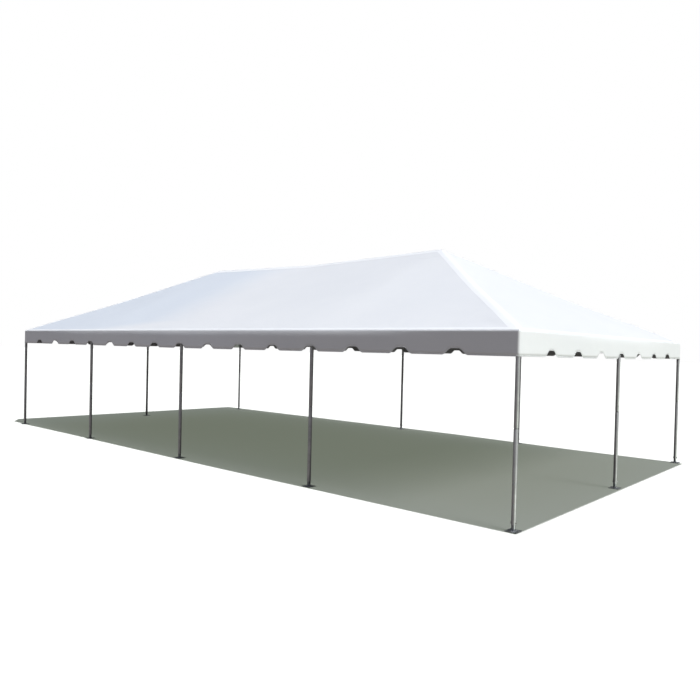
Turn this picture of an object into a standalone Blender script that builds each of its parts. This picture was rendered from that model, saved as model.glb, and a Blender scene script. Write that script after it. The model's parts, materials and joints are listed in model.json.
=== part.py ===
"""Hip-roofed frame marquee, 20 ft by 40 ft, on twelve pinned aluminium legs.

Units are metres and +Z is up. The origin is on the ground under the middle of
the plan. +X runs along the long side, and the front is at -Y.
"""

import math

import bmesh
import bpy
from mathutils import Matrix, Vector

# Plan
BAY = 3.048
LONG_BAYS = 4
SHORT_BAYS = 2
HALF_LENGTH = LONG_BAYS * BAY / 2
HALF_WIDTH = SHORT_BAYS * BAY / 2
RIDGE_HALF = HALF_LENGTH - HALF_WIDTH

# Heights of the tubes' axes. The stretched canopy pulls the ridge's middle and
# the long hip rafters down a little.
EAVE_Z = 2.100
CROWN_Z = 3.590
RIDGE_DIP = 0.070
RIDGE_MID_Z = CROWN_Z - RIDGE_DIP
HIP_SAG = 0.030
HIP_STRAIGHT_END = 0.220
HIP_SAG_STEPS = 8
HIP_LENGTH = math.dist((HALF_WIDTH, HALF_WIDTH, EAVE_Z), (0, 0, CROWN_Z))

# Tubes and the spigots that slide into them
TUBE_RADIUS = 0.0254
TUBE_WALL = 0.0021
BORE_RADIUS = TUBE_RADIUS - TUBE_WALL
SPIGOT_RADIUS = 0.0221
SPIGOT_LENGTH = 0.120
FITTING_ARM = 0.080
BUTT_GAP = 0.0004
BORE_OVERCUT = 0.020
TUBE_SIDES = 12
LEG_SIDES = 16
HUB_SUBDIVISIONS = 2
HUB_RADIUS = TUBE_RADIUS * 0.995
ARM_TWIST = math.radians(7)
SHARP_ANGLE = math.radians(33)

# Legs and feet
LEG_BOTTOM_Z = 0.070
PLATE_SIZE = 0.140
PLATE_THICKNESS = 0.0064
STAKE_HOLE_RADIUS = 0.0095
STAKE_HOLE_INSET = 0.020
STAKE_HOLE_SIDES = 8
FOOT_SPIGOT_TOP_Z = 0.240
PIN_Z = 0.092
PIN_RADIUS = 0.005
PIN_CLEARANCE = 0.0004
PIN_REACH = 0.034
PIN_SIDES = 8

# Canopy
CANOPY_GAP = 0.0006
CANOPY_OFFSET = TUBE_RADIUS + CANOPY_GAP
CANOPY_THICKNESS = 0.004
VALANCE_BOTTOM_Z = 1.840
EAVE_ARC_STEPS = 3
LONG_TABS = 16
SHORT_TABS = 8
NOTCH_HALF_WIDTH = 0.160
NOTCH_HEIGHT = 0.074
NOTCH_STEPS = 10
NOTCH_OVERCUT = 0.020

# Material values: colour, metallic, roughness
VINYL = ((0.86, 0.88, 0.92), 0.0, 0.45)
ALUMINIUM = ((0.62, 0.63, 0.64), 1.0, 0.38)
CAST = ((0.52, 0.53, 0.54), 1.0, 0.48)
GALVANISED = ((0.46, 0.47, 0.48), 1.0, 0.55)

WORLD_UP = Vector((0, 0, 1))


def clear_scene():
    for item in list(bpy.data.objects):
        bpy.data.objects.remove(item, do_unlink=True)


def new_collection(name):
    collection = bpy.data.collections.new(name)
    bpy.context.scene.collection.children.link(collection)
    return collection


def make_material(name, values):
    colour, metallic, roughness = values
    material = bpy.data.materials.new(name)
    material.use_nodes = True
    shader = material.node_tree.nodes["Principled BSDF"]
    shader.inputs["Base Color"].default_value = (*colour, 1.0)
    shader.inputs["Metallic"].default_value = metallic
    shader.inputs["Roughness"].default_value = roughness
    material.diffuse_color = (*colour, 1.0)
    return material


def add_object(name, mesh, collection, values=None):
    item = bpy.data.objects.new(name, mesh)
    collection.objects.link(item)
    if values:
        mesh.materials.append(make_material(name, values))
    else:
        item.hide_render = True
        item.display_type = "WIRE"
    return item


def mesh_from(build, name):
    """The mesh that a bmesh-filling function makes, smooth except at its edges."""
    bm = bmesh.new()
    build(bm)
    mesh = bpy.data.meshes.new(name)
    bm.to_mesh(mesh)
    bm.free()
    mesh.shade_smooth()
    mesh.set_sharp_from_angle(angle=SHARP_ANGLE)
    return mesh


def direction(start, end):
    return (Vector(end) - Vector(start)).normalized()


def frame_along(origin, axis, twist=0.0):
    """The matrix that turns local +Z to axis and moves the origin."""
    turn = Vector(axis).to_track_quat("Z", "Y").to_matrix().to_4x4()
    return Matrix.Translation(origin) @ turn @ Matrix.Rotation(twist, 4, "Z")


def turned_solid(bm, profile, sides):
    """A closed solid turned about Z from (radius, height) points that start
    and end on the axis, or from a closed ring of points off the axis."""
    closed_ring = profile[0][0] > 0
    verts = [bm.verts.new((radius, 0, height)) for radius, height in profile]
    edges = [bm.edges.new(pair) for pair in zip(verts, verts[1:])]
    if closed_ring:
        edges.append(bm.edges.new((verts[-1], verts[0])))
    bmesh.ops.spin(
        bm,
        geom=verts + edges,
        cent=(0, 0, 0),
        axis=(0, 0, 1),
        angle=math.tau,
        steps=sides,
        use_merge=True,
    )
    bmesh.ops.remove_doubles(bm, verts=bm.verts[:], dist=0.00001)
    bmesh.ops.recalc_face_normals(bm, faces=bm.faces[:])


def add_tube(name, start, end, collection, sides=TUBE_SIDES, stations=()):
    """A round tube with open ends between two points, with a ring of corners
    at each station, a length along it."""
    length = (Vector(end) - Vector(start)).length
    heights = [0, *stations, length]
    profile = [(BORE_RADIUS, height) for height in reversed(heights)]
    profile += [(TUBE_RADIUS, height) for height in heights]
    mesh = mesh_from(lambda bm: turned_solid(bm, profile, sides), name)
    item = add_object(name, mesh, collection, ALUMINIUM)
    item.matrix_world = frame_along(start, direction(start, end))
    return item


def add_member(name, hub_a, hub_b, collection, stations=()):
    """A tube between two fittings' centres, short of each fitting's arm."""
    along = direction(hub_a, hub_b)
    cut = FITTING_ARM + BUTT_GAP
    reach = along * cut
    inner = [station - cut for station in stations]
    start, end = Vector(hub_a) + reach, Vector(hub_b) - reach
    return add_tube(name, start, end, collection, stations=inner)


def hip_stations():
    """Lengths along a hip, from its corner, between which it is straight."""
    span = HIP_LENGTH - 2 * HIP_STRAIGHT_END
    return [HIP_STRAIGHT_END + span * step / HIP_SAG_STEPS for step in range(HIP_SAG_STEPS + 1)]


def hip_drop(station):
    """How far a hip hangs below its straight line, at a length along it."""
    along = (station - HIP_STRAIGHT_END) / (HIP_LENGTH - 2 * HIP_STRAIGHT_END)
    return HIP_SAG * math.sin(math.pi * min(max(along, 0), 1)) ** 2


def add_hip(name, corner, crown, collection):
    """A hip rafter: a tube that is straight at its spigots and sags between."""
    item = add_member(name, corner, crown, collection, hip_stations())
    to_local = item.matrix_world.to_3x3().inverted()
    for vert in item.data.vertices:
        station = FITTING_ARM + BUTT_GAP + vert.co.z
        vert.co += to_local @ (-WORLD_UP * hip_drop(station))
    return item


def arm_mesh(name):
    """A fitting's arm: a full-width stub, then the spigot inside the tube."""
    profile = [
        (0, 0),
        (TUBE_RADIUS, 0),
        (TUBE_RADIUS, FITTING_ARM),
        (SPIGOT_RADIUS, FITTING_ARM),
        (SPIGOT_RADIUS, FITTING_ARM + SPIGOT_LENGTH),
        (0, FITTING_ARM + SPIGOT_LENGTH),
    ]
    return mesh_from(lambda bm: turned_solid(bm, profile, TUBE_SIDES), name)


def add_boolean(item, other, operation):
    modifier = item.modifiers.new(f"{operation.lower()}_{other.name}", "BOOLEAN")
    modifier.operation = operation
    modifier.object = other
    modifier.solver = "EXACT"


def add_arms(item, hub, targets, cutters, label="arm"):
    """Joins one arm to the item for each point that a tube runs towards.

    Each arm is twisted a little further, so that no two arms' facets lie in
    one plane where they cross.
    """
    for number, target in enumerate(targets):
        name = f"{item.name}_{label}_{number}"
        arm = add_object(name, arm_mesh(name), cutters)
        arm.matrix_world = frame_along(hub, direction(hub, target), ARM_TWIST * number)
        add_boolean(item, arm, "UNION")


def add_fitting(name, hub, targets, collection, cutters):
    """A cast fitting with a round hub and an arm towards each target."""

    def hub_ball(bm):
        bmesh.ops.create_icosphere(bm, subdivisions=HUB_SUBDIVISIONS, radius=HUB_RADIUS)

    item = add_object(name, mesh_from(hub_ball, name), collection, CAST)
    item.location = hub
    add_arms(item, Vector(hub), targets, cutters)
    return item


def add_rail(name, corner_a, corner_b, tees, collection, cutters):
    """A side's run of eave tubes with a tee fitting at each point in tees.

    Each tee has an arm down to its leg and an arm along its rafter. The bore
    is cut last, so that it runs clear from end to end.
    """
    along = direction(corner_a, corner_b)
    reach = along * (FITTING_ARM + BUTT_GAP)
    start = Vector(corner_a) + reach
    length = (Vector(corner_b) - Vector(corner_a)).length - 2 * reach.length

    def solid_bar(bm):
        profile = [(0, 0), (TUBE_RADIUS, 0), (TUBE_RADIUS, length), (0, length)]
        turned_solid(bm, profile, TUBE_SIDES)

    def bore(bm):
        start, end = -BORE_OVERCUT, length + BORE_OVERCUT
        profile = [(0, start), (BORE_RADIUS, start), (BORE_RADIUS, end), (0, end)]
        turned_solid(bm, profile, TUBE_SIDES)

    item = add_object(name, mesh_from(solid_bar, name), collection, ALUMINIUM)
    item.matrix_world = frame_along(start, along)
    for number, (hub, rafter_end) in enumerate(tees):
        leg_end = Vector(hub) - WORLD_UP
        add_arms(item, Vector(hub), [leg_end, rafter_end], cutters, f"tee_{number}_arm")
    drill = add_object(f"{name}_bore", mesh_from(bore, f"{name}_bore"), cutters)
    drill.matrix_world = item.matrix_world
    add_boolean(item, drill, "DIFFERENCE")
    return item


def add_leg(name, x, y, collection, cutters):
    """A leg tube with a cross hole for its foot's pin."""
    top = EAVE_Z - FITTING_ARM - BUTT_GAP
    item = add_tube(name, (x, y, LEG_BOTTOM_Z), (x, y, top), collection, LEG_SIDES)

    def pin_hole(bm):
        bmesh.ops.create_cone(
            bm,
            cap_ends=True,
            segments=PIN_SIDES,
            radius1=PIN_RADIUS + PIN_CLEARANCE,
            radius2=PIN_RADIUS + PIN_CLEARANCE,
            depth=2 * PIN_REACH,
        )

    drill = add_object(f"{name}_pin_hole", mesh_from(pin_hole, f"{name}_pin_hole"), cutters)
    drill.matrix_world = frame_along((x, y, PIN_Z), (1, 0, 0))
    add_boolean(item, drill, "DIFFERENCE")
    return item


def add_foot(name, x, y, collection, cutters):
    """A square base plate with stake holes, the leg's spigot and its pin."""

    def plate(bm):
        bmesh.ops.create_cube(bm, size=1.0)
        bmesh.ops.scale(bm, vec=(PLATE_SIZE, PLATE_SIZE, PLATE_THICKNESS), verts=bm.verts[:])
        bmesh.ops.translate(bm, vec=(0, 0, PLATE_THICKNESS / 2), verts=bm.verts[:])

    def spigot(bm):
        base, top = PLATE_THICKNESS / 2, FOOT_SPIGOT_TOP_Z
        profile = [(0, base), (SPIGOT_RADIUS, base), (SPIGOT_RADIUS, top), (0, top)]
        turned_solid(bm, profile, TUBE_SIDES)

    def pin(bm):
        bmesh.ops.create_cone(
            bm,
            cap_ends=True,
            segments=PIN_SIDES,
            radius1=PIN_RADIUS,
            radius2=PIN_RADIUS,
            depth=2 * PIN_REACH,
        )
        bmesh.ops.rotate(bm, verts=bm.verts[:], matrix=Matrix.Rotation(math.pi / 2, 3, "Y"))
        bmesh.ops.translate(bm, vec=(0, 0, PIN_Z), verts=bm.verts[:])

    def stake_holes(bm):
        offset = PLATE_SIZE / 2 - STAKE_HOLE_INSET
        for side_x in (-1, 1):
            for side_y in (-1, 1):
                bmesh.ops.create_cone(
                    bm,
                    cap_ends=True,
                    segments=STAKE_HOLE_SIDES,
                    radius1=STAKE_HOLE_RADIUS,
                    radius2=STAKE_HOLE_RADIUS,
                    depth=4 * PLATE_THICKNESS,
                    matrix=Matrix.Translation((side_x * offset, side_y * offset, PLATE_THICKNESS / 2)),
                )

    item = add_object(name, mesh_from(plate, name), collection, GALVANISED)
    item.location = (x, y, 0)
    for part, build, operation in (
        ("spigot", spigot, "UNION"),
        ("pin", pin, "UNION"),
        ("stake_holes", stake_holes, "DIFFERENCE"),
    ):
        other = add_object(f"{name}_{part}", mesh_from(build, f"{name}_{part}"), cutters)
        other.location = item.location
        add_boolean(item, other, operation)
    return item


def roof_slope():
    return math.atan2(CROWN_Z - EAVE_Z, HALF_WIDTH)


def canopy_rings():
    """(outward offset from the eave axis, height) of each level ring, from the
    valance's bottom up round the eave tube to the start of the roof slope."""
    step = (math.pi / 2 - roof_slope()) / EAVE_ARC_STEPS
    radius = CANOPY_OFFSET / math.cos(step / 2)
    rings = [(CANOPY_OFFSET, VALANCE_BOTTOM_Z)]
    for number in range(EAVE_ARC_STEPS):
        angle = (number + 0.5) * step
        rings.append((radius * math.cos(angle), EAVE_Z + radius * math.sin(angle)))
    return rings


def canopy_surface(bm):
    """The canopy's inner face: level rings lofted up to the ridge line."""
    stations = [-RIDGE_HALF, 0.0, RIDGE_HALF]

    def ring_points(offset, z):
        half_x = HALF_LENGTH + offset
        half_y = HALF_WIDTH + offset
        front = [Vector((x, -half_y, z)) for x in [-half_x] + stations + [half_x]]
        back = [Vector((-point.x, half_y, z)) for point in front]
        return front + [Vector((half_x, 0, z))] + back + [Vector((-half_x, 0, z))]

    rings = [ring_points(*ring) for ring in canopy_rings()]
    lift = CANOPY_OFFSET / math.cos(roof_slope())
    ridge_left = Vector((-RIDGE_HALF, 0, CROWN_Z + lift))
    ridge_mid = Vector((0, 0, RIDGE_MID_Z + lift))
    ridge_right = Vector((RIDGE_HALF, 0, CROWN_Z + lift))
    # One ridge point above each ring point, starting at the front left corner
    top = [ridge_left] * 2 + [ridge_mid] + [ridge_right] * 5 + [ridge_mid] + [ridge_left] * 3
    count = len(top)

    # Rings up the slope, in which the four corners follow the sagging hips
    eave_ring = rings[-1]
    overhang = (-HALF_WIDTH - eave_ring[0].y) / HALF_WIDTH
    for station in hip_stations():
        share = (station / HIP_LENGTH + overhang) / (1 + overhang)
        ring = [low.lerp(high, share) for low, high in zip(eave_ring, top)]
        for corner in (0, 4, 6, 10):
            ring[corner].z -= hip_drop(station)
        rings.append(ring)

    ring_verts = [[bm.verts.new(point) for point in ring] for ring in rings]
    ridge_points = (ridge_left, ridge_mid, ridge_right)
    ridge_verts = {point.to_tuple(): bm.verts.new(point) for point in ridge_points}
    ring_verts.append([ridge_verts[point.to_tuple()] for point in top])
    for lower, upper in zip(ring_verts, ring_verts[1:]):
        for number in range(count):
            following = (number + 1) % count
            corners = [lower[number], lower[following], upper[following], upper[number]]
            bm.faces.new(list(dict.fromkeys(corners)))
    bmesh.ops.triangulate(bm, faces=bm.faces[:])
    bmesh.ops.recalc_face_normals(bm, faces=bm.faces[:])


def notch_outline():
    """A notch in the valance's edge, one cosine wave: (sideways, height) points."""
    points = []
    for number in range(NOTCH_STEPS + 1):
        sideways = NOTCH_HALF_WIDTH * (2 * number / NOTCH_STEPS - 1)
        rise = NOTCH_HEIGHT * (1 + math.cos(math.pi * sideways / NOTCH_HALF_WIDTH)) / 2
        points.append((sideways, VALANCE_BOTTOM_Z + rise))
    return points


def notch_cutter(bm, spacing, count, half_span, lengthwise):
    """Bars with the notch's section, right across the tent at each notch."""
    for number in range(1, count):
        centre = spacing * (number - count / 2)
        outline = [(-NOTCH_HALF_WIDTH, VALANCE_BOTTOM_Z - NOTCH_OVERCUT)]
        outline += notch_outline()
        outline += [(NOTCH_HALF_WIDTH, VALANCE_BOTTOM_Z - NOTCH_OVERCUT)]
        verts = []
        for sideways, z in outline:
            place = centre + sideways
            spot = (place, -half_span, z) if lengthwise else (-half_span, place, z)
            verts.append(bm.verts.new(spot))
        face = bm.faces.new(verts)
        across = Vector((0, 2 * half_span, 0)) if lengthwise else Vector((2 * half_span, 0, 0))
        result = bmesh.ops.extrude_face_region(bm, geom=[face])
        moved = [item for item in result["geom"] if isinstance(item, bmesh.types.BMVert)]
        bmesh.ops.translate(bm, verts=moved, vec=across)
    bmesh.ops.recalc_face_normals(bm, faces=bm.faces[:])


def add_canopy(collection, cutters):
    item = add_object("canopy", mesh_from(canopy_surface, "canopy"), collection, VINYL)
    skin = item.modifiers.new("thickness", "SOLIDIFY")
    skin.thickness = CANOPY_THICKNESS
    skin.offset = 1.0
    skin.use_even_offset = True
    outside = CANOPY_OFFSET + 4 * CANOPY_THICKNESS
    for name, count, length, half_span, lengthwise in (
        ("long_notches", LONG_TABS, 2 * HALF_LENGTH, HALF_WIDTH + outside, True),
        ("short_notches", SHORT_TABS, 2 * HALF_WIDTH, HALF_LENGTH + outside, False),
    ):
        mesh = mesh_from(
            lambda bm: notch_cutter(bm, length / count, count, half_span, lengthwise), name
        )
        add_boolean(item, add_object(name, mesh, cutters), "DIFFERENCE")
    return item


def build_tent():
    clear_scene()
    tent = new_collection("frame_marquee")
    cutters = new_collection("cutters")

    stations = [BAY * (number - LONG_BAYS / 2) for number in range(LONG_BAYS + 1)]
    sides = (("front", -HALF_WIDTH), ("back", HALF_WIDTH))
    ends = (("left", -1), ("right", 1))
    inner = {"left": -RIDGE_HALF, "middle": 0.0, "right": RIDGE_HALF}
    ridge = {
        "left": (-RIDGE_HALF, 0, CROWN_Z),
        "middle": (0, 0, RIDGE_MID_Z),
        "right": (RIDGE_HALF, 0, CROWN_Z),
    }

    # Legs and feet stand on every grid point of the outline
    spots = [(f"{side}_{number + 1}", x, y) for side, y in sides for number, x in enumerate(stations)]
    spots += [(f"{end}_middle", sign * HALF_LENGTH, 0.0) for end, sign in ends]
    for spot, x, y in spots:
        add_foot(f"foot_{spot}", x, y, tent, cutters)
        add_leg(f"leg_{spot}", x, y, tent, cutters)

    # Eave rails, with the tees that carry the side and end rafters
    for side, y in sides:
        tees = [((x, y, EAVE_Z), ridge[name]) for name, x in inner.items()]
        add_rail(
            f"eave_rail_{side}", (-HALF_LENGTH, y, EAVE_Z), (HALF_LENGTH, y, EAVE_Z), tees, tent, cutters
        )
    for end, sign in ends:
        x = sign * HALF_LENGTH
        tees = [((x, 0, EAVE_Z), ridge[end])]
        add_rail(
            f"eave_rail_{end}", (x, -HALF_WIDTH, EAVE_Z), (x, HALF_WIDTH, EAVE_Z), tees, tent, cutters
        )

    # Corner fittings and the hip rafters that rise from them
    for side, y in sides:
        for end, sign in ends:
            x = sign * HALF_LENGTH
            corner = (x, y, EAVE_Z)
            targets = [(0, y, EAVE_Z), (x, 0, EAVE_Z), (x, y, 0), ridge[end]]
            add_fitting(f"corner_fitting_{side}_{end}", corner, targets, tent, cutters)
            add_hip(f"hip_rafter_{side}_{end}", corner, ridge[end], tent)

    # Side and end rafters
    for side, y in sides:
        for name, x in inner.items():
            add_member(f"rafter_{side}_{name}", (x, y, EAVE_Z), ridge[name], tent)
    for end, sign in ends:
        add_member(f"rafter_end_{end}", (sign * HALF_LENGTH, 0, EAVE_Z), ridge[end], tent)

    # Ridge tubes and their fittings
    for end, sign in ends:
        add_member(f"ridge_tube_{end}", ridge["middle"], ridge[end], tent)
        x = sign * HALF_LENGTH
        crown_targets = [ridge["middle"], (x, 0, EAVE_Z)]
        crown_targets += [(sign * RIDGE_HALF, y, EAVE_Z) for _, y in sides]
        crown_targets += [(x, y, EAVE_Z) for _, y in sides]
        add_fitting(f"crown_fitting_{end}", ridge[end], crown_targets, tent, cutters)
    middle_targets = [ridge["left"], ridge["right"]]
    middle_targets += [(0, y, EAVE_Z) for _, y in sides]
    add_fitting("ridge_fitting_middle", ridge["middle"], middle_targets, tent, cutters)

    add_canopy(tent, cutters)


build_tent()
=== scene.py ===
import json
import math

import bmesh
import bpy
from mathutils import Matrix, Vector, noise

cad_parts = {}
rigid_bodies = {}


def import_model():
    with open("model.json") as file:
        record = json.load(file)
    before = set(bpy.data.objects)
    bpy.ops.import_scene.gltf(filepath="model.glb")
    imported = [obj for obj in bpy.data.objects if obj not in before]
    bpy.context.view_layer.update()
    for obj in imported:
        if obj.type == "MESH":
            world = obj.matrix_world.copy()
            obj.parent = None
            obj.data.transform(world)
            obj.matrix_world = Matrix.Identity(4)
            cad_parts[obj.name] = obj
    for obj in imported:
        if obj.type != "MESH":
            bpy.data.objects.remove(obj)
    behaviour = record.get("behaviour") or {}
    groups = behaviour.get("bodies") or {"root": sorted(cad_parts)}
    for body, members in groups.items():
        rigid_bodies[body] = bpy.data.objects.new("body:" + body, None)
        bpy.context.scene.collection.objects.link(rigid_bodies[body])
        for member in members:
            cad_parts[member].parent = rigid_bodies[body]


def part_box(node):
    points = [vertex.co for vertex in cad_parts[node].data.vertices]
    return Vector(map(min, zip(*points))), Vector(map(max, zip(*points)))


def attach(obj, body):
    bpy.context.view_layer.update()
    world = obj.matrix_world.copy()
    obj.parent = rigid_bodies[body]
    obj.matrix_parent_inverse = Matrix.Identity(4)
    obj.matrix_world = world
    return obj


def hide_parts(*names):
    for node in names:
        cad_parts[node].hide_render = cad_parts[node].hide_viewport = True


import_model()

# Photograph's frame
IMAGE_PX = 700
SENSOR_MM = 36.0

# Camera solved from the feet and legs
CAMERA_PLACE = Vector((9.2281, -9.2125, 1.8733))
CAMERA_YAW = 0.7000
CAMERA_PITCH = -0.0163
CAMERA_ROLL = 0.0241
FOCAL_PX = 642.93
MIDDLE_X_PX = 367.50
MIDDLE_Y_PX = 360.13

# Sizes that the frame's fittings and tubes are built to
TUBE_RADIUS = 0.0254
TUBE_WALL = 0.0021
BORE_RADIUS = TUBE_RADIUS - TUBE_WALL
SPIGOT_RADIUS = 0.0221
SPIGOT_WALL = 0.0024
SPIGOT_LENGTH = 0.120
FITTING_ARM = 0.080
BUTT_GAP = 0.0004
CROWN_Z = 3.590
RIDGE_DIP = 0.070
HIP_SAG = 0.030
HIP_STRAIGHT_END = 0.220

# Places read from the frame
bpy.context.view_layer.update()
NEAR_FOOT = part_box("foot_front_5")
HALF_LENGTH = (NEAR_FOOT[0].x + NEAR_FOOT[1].x) / 2
HALF_WIDTH = -(NEAR_FOOT[0].y + NEAR_FOOT[1].y) / 2
BAY = HALF_LENGTH / 2
RIDGE_HALF = HALF_LENGTH - HALF_WIDTH
PLATE_SIZE = NEAR_FOOT[1].x - NEAR_FOOT[0].x
FOOT_TOP_Z = NEAR_FOOT[1].z
LEG_BOTTOM_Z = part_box("leg_front_5")[0].z
LEG_TOP_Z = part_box("leg_front_5")[1].z
EAVE_Z = LEG_TOP_Z + FITTING_ARM + BUTT_GAP
RIDGE_MID_Z = CROWN_Z - RIDGE_DIP
HEM_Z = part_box("canopy")[0].z

# Canopy
SHEET_OFFSET = 0.0262
SHEET_THICKNESS = 0.0012
SLOPE = math.atan2(CROWN_Z - EAVE_Z, HALF_WIDTH)
SLOPE_NORMAL = math.pi / 2 - SLOPE
TANGENT_OUT = SHEET_OFFSET * math.cos(SLOPE_NORMAL)
LIFT = SHEET_OFFSET / math.cos(SLOPE)
LONG_TABS = 16
SHORT_TABS = 8
NOTCH_HALF = 0.166
NOTCH_HEIGHT = 0.074
NOTCH_ROUND = 0.050
BACK_DRIFT = 0.20
BACK_DRIFT_MIDDLE = 2.2
BACK_DRIFT_LENGTH = 18.0
LEFT_TAB = 0.725
LEFT_SHIFT = 0.27
NOTCH_STEPS = 6
TAB_STEPS = 3
CORNER_STEPS = 6
VALANCE_STEPS = 9
ARC_STEPS = 6
ROOF_STEPS = 36
QUAD_SAG = 0.006
TRIANGLE_SAG = 0.009
END_SAG = 0.010
HEM_DROOP = 0.012
RIPPLE = 0.0016
HEM_FLARE = 0.007
LEG_HOLD = 0.45
GATHER_PLACE = 0.16
GATHER_SPREAD = 0.12
GATHER_DEPTH = 0.0011
EAVE_ROLL = math.radians(24)
EAVE_ROLL_DROP = 0.105
BAND_HALF = 0.078
RIDGE_BAND_HALF = 0.130
BAND_THICKNESS = 0.0011
EAVE_BAND = 0.050
PATCH_RADIUS = 0.42
PANEL_WIDTH = 1.524
WELD_EDGE = (0.010, 0.014)
WEAVE = 0.0030
CORNER_FOLD = 0.0030
HEM_HALF_THICK = 0.0020
HEM_TALL = 0.013

# Smoothness of turned pieces
TUBE_SIDES = 40
SMALL_SIDES = 24
STATION_SPACING = 0.6
HIP_SPACING = 0.22
VOXEL = 0.0030

WORLD_UP = Vector((0, 0, 1))
ALONG_X = Vector((1, 0, 0))
ALONG_Y = Vector((0, 1, 0))
SHARP = math.radians(38)
ALL_ENDS = (("left", -1), ("right", 1))
ALL_SIDES = (("front", -1), ("back", 1))


# Node materials

# Sockets of a colour mix, by number
MIX_FACTOR, MIX_FIRST, MIX_SECOND, MIX_RESULT = 0, 6, 7, 2
WAVE_BANDS = 20


class Nodes:
    """The nodes of a material or a world, added one by one."""

    def __init__(self, owner, emptied=True):
        owner.use_nodes = True
        self.tree = owner.node_tree
        if emptied:
            self.tree.nodes.clear()

    def set(self, node, inputs):
        """Links or fills inputs by name or number. Colours come as RGB."""
        for name, value in inputs.items():
            socket = node.inputs[name]
            if isinstance(value, bpy.types.NodeSocket):
                self.tree.links.new(value, socket)
            else:
                socket.default_value = (*value, 1.0) if socket.type == "RGBA" else value

    def add(self, kind, inputs=(), **settings):
        node = self.tree.nodes.new("ShaderNode" + kind)
        for name, value in settings.items():
            setattr(node, name, value)
        self.set(node, dict(inputs))
        return node

    def split(self, vector):
        return self.add("SeparateXYZ", {"Vector": vector}).outputs

    def output(self, kind, seen, lit):
        """Joins two shaders: one that the camera sees, one that lights the tent."""
        path = self.add("LightPath").outputs["Is Camera Ray"]
        mix = self.add("MixShader", {0: path, 1: lit.outputs[0], 2: seen.outputs[0]})
        self.add(kind, {"Surface": mix.outputs[0]})


class Shade(Nodes):
    """A material with a principled shader."""

    def __init__(self, name, colour, metallic, roughness):
        self.material = bpy.data.materials.new(name)
        super().__init__(self.material, emptied=False)
        self.shader = self.tree.nodes["Principled BSDF"]
        self.material.diffuse_color = (*colour, 1.0)
        self.set(self.shader, {"Base Color": colour, "Metallic": metallic, "Roughness": roughness})

    def place(self):
        return self.add("TexCoord").outputs["Object"]

    def run(self):
        """Metres along and across a piece."""
        return self.add("UVMap", uv_map="run").outputs["UV"]

    def stretched(self, vector, scale):
        return self.add("Mapping", {"Vector": vector, "Scale": scale}).outputs["Vector"]

    def noise(self, vector, scale, detail, roughness=0.55):
        inputs = {"Vector": vector, "Scale": scale, "Detail": detail, "Roughness": roughness}
        return self.add("TexNoise", inputs).outputs["Fac"]

    def wave(self, vector, wavelength, axis):
        inputs = {"Vector": vector, "Scale": math.tau / (WAVE_BANDS * wavelength), "Distortion": 0.0}
        return self.add("TexWave", inputs, bands_direction=axis).outputs["Fac"]

    def math(self, operation, first, second):
        return self.add("Math", {0: first, 1: second}, operation=operation).outputs[0]

    def spread(self, value, low, high, start=0.0, end=1.0):
        """Maps low..high to start..end, smoothly and clamped."""
        node = self.add("MapRange", interpolation_type="SMOOTHSTEP")
        self.set(node, {"Value": value, "From Min": low, "From Max": high, "To Min": start, "To Max": end})
        return node.outputs["Result"]

    def blend(self, factor, first, second, how="MIX"):
        node = self.add("Mix", data_type="RGBA", blend_type=how)
        self.set(node, {MIX_FACTOR: factor, MIX_FIRST: first, MIX_SECOND: second})
        return node.outputs[MIX_RESULT]

    def bump(self, height, distance, strength, under=None):
        inputs = {"Height": height, "Distance": distance, "Strength": strength}
        if under is not None:
            inputs["Normal"] = under
        return self.add("Bump", inputs).outputs["Normal"]

    def finish(self, colour, roughness, normal):
        self.set(self.shader, {"Base Color": colour, "Roughness": roughness, "Normal": normal})
        return self.material


VINYL_SPECULAR = 0.25

# Painted shade: the roof's left part is made duller and bluer, by distance along the tent and height
PAINTED_SHADE_START = -2.0
PAINTED_SHADE_END = -0.2
PAINTED_SHADE_LEAN = 9.0
PAINTED_SHADE_LEAN_HEIGHT = 0.22
PAINTED_SHADE_EDGE = 0.05
PAINTED_SHADE_TINT = (0.880, 0.922, 0.972)

# Painted light: the valance's left part is made lighter, by distance along the tent
PAINTED_LIGHT_START = 0.0
PAINTED_LIGHT_END = 3.6
PAINTED_LIGHT_EDGE = -0.03
PAINTED_LIGHT_TINT = (1.10, 1.11, 1.13)


def painted_left_shade_and_light(shade, place, colour):
    """Paints shade on the roof's left part, duller and bluer, and paints light on the valance there,
    lighter.
    """
    parts = shade.split(place)
    height = shade.math("SUBTRACT", parts["Z"], EAVE_Z)
    low = shade.math("MAXIMUM", shade.math("SUBTRACT", PAINTED_SHADE_LEAN_HEIGHT, height), 0.0)
    along = shade.math("ADD", parts["X"], shade.math("MULTIPLY", low, PAINTED_SHADE_LEAN))
    # Painted shade on the roof's left part
    on_left = shade.spread(along, PAINTED_SHADE_START, PAINTED_SHADE_END, 1.0, 0.0)
    dull = shade.math("MULTIPLY", on_left, shade.spread(height, 0.0, PAINTED_SHADE_EDGE))
    colour = shade.blend(dull, colour, PAINTED_SHADE_TINT, "MULTIPLY")
    # Painted light on the valance's left part
    on_left = shade.spread(parts["X"], PAINTED_LIGHT_START, PAINTED_LIGHT_END, 1.0, 0.0)
    painted_light = shade.math("MULTIPLY", on_left, shade.spread(height, PAINTED_LIGHT_EDGE, 0.0, 1.0, 0.0))
    return shade.blend(painted_light, colour, PAINTED_LIGHT_TINT, "MULTIPLY")


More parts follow.
